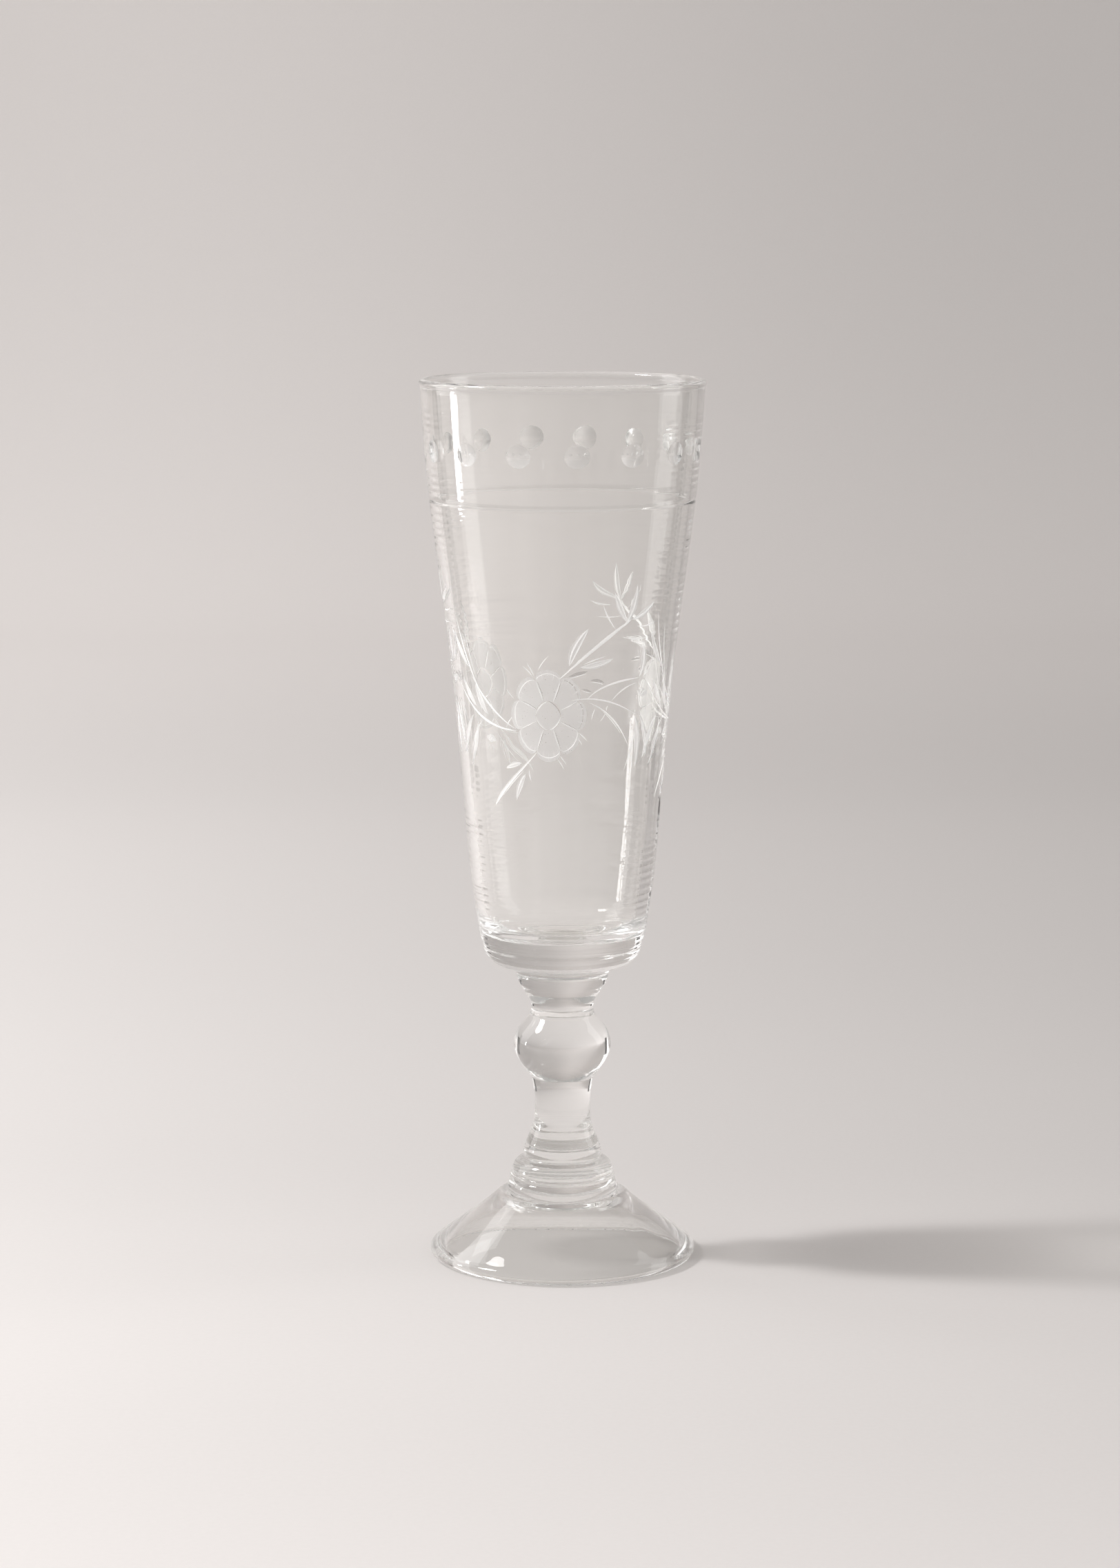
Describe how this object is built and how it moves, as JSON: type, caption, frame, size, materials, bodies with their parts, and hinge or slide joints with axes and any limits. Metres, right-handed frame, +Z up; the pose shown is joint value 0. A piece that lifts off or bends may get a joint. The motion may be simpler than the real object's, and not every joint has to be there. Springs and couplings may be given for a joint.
{
  "type": "champagne flute",
  "caption": "Footed glass flute: tall tulip bowl with engraved flowers and a row of dots, thick base, knopped stem with collars, hollow conical foot.",
  "frame": {"origin": "centre of the foot's resting ring, on the table", "axes": "+Z up along the glass's axis; the camera side is -Y"},
  "size_m": [0.059, 0.059, 0.184],
  "materials": {
    "bowl_glass": "clear polished, with satin engraved lines and dots",
    "stem_glass": "clear fire-polished",
    "foot_glass": "clear fire-polished, ground resting ring"
  },
  "bodies": {
    "root": {"bowl": "bowl_glass", "neck": "stem_glass", "knop": "stem_glass", "shank": "stem_glass", "collar": "stem_glass", "ring": "stem_glass", "foot": "foot_glass"}
  },
  "joints": []
}
